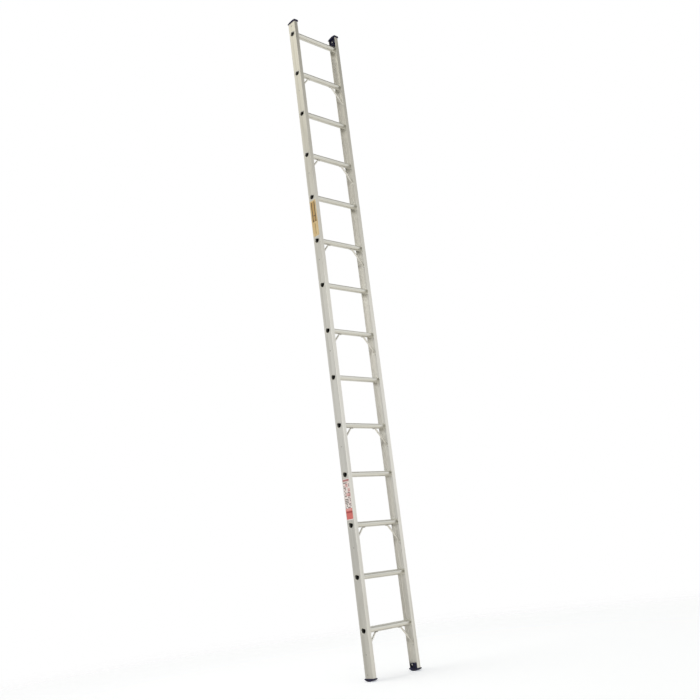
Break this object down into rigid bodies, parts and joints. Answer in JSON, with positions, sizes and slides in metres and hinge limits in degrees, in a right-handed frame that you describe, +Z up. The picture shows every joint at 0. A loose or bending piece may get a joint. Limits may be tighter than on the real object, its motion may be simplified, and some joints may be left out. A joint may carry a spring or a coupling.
{
  "type": "straight aluminium ladder",
  "caption": "Single-section straight ladder: two inward-facing aluminium C-channel stiles, hollow D-section rungs swaged through them, tube braces with flattened ends, plastic feet and top caps.",
  "frame": {"origin": "on the floor below the ladder's middle: X midway between the stiles, Y midway between their flanges, Z at the feet's lowest point", "axes": "+Z up the stiles, +X across the ladder to the right-hand stile as the climber sees it, +Y away from the climber"},
  "size_m": [0.407, 0.075, 4.3495],
  "materials": {
    "stile_aluminium": "mill-finish extrusion, faint lengthwise die lines",
    "rung_aluminium": "mill-finish extrusion, fine lengthwise grip serrations",
    "brace_aluminium": "mill-finish tube, flattened at its ends",
    "rivet_metal": "satin blind rivets",
    "navy_plastic": "dark navy moulded plastic, satin",
    "gold_label": "gold vinyl sticker with plain brown bars",
    "red_and_white_label": "white vinyl sticker with a red block and plain grey lines"
  },
  "bodies": {
    "root": {"left_stile": "stile_aluminium", "right_stile": "stile_aluminium", "rung_01": "rung_aluminium", "rung_02": "rung_aluminium", "rung_03": "rung_aluminium", "rung_04": "rung_aluminium", "rung_05": "rung_aluminium", "rung_06": "rung_aluminium", "rung_07": "rung_aluminium", "rung_08": "rung_aluminium", "rung_09": "rung_aluminium", "rung_10": "rung_aluminium", "rung_11": "rung_aluminium", "rung_12": "rung_aluminium", "rung_13": "rung_aluminium", "rung_14": "rung_aluminium", "brace_01_left": "brace_aluminium", "brace_01_right": "brace_aluminium", "brace_03_left": "brace_aluminium", "brace_03_right": "brace_aluminium", "brace_05_left": "brace_aluminium", "brace_05_right": "brace_aluminium", "brace_07_left": "brace_aluminium", "brace_07_right": "brace_aluminium", "brace_09_left": "brace_aluminium", "brace_09_right": "brace_aluminium", "brace_11_left": "brace_aluminium", "brace_11_right": "brace_aluminium", "brace_13_left": "brace_aluminium", "brace_13_right": "brace_aluminium", "brace_to_rung_rivets": "rivet_metal", "brace_to_stile_rivets": "rivet_metal", "foot_rivets": "rivet_metal", "cap_rivets": "rivet_metal", "left_foot": "navy_plastic", "right_foot": "navy_plastic", "left_top_cap": "navy_plastic", "right_top_cap": "navy_plastic", "gold_label": "gold_label", "red_and_white_label": "red_and_white_label"}
  },
  "joints": []
}
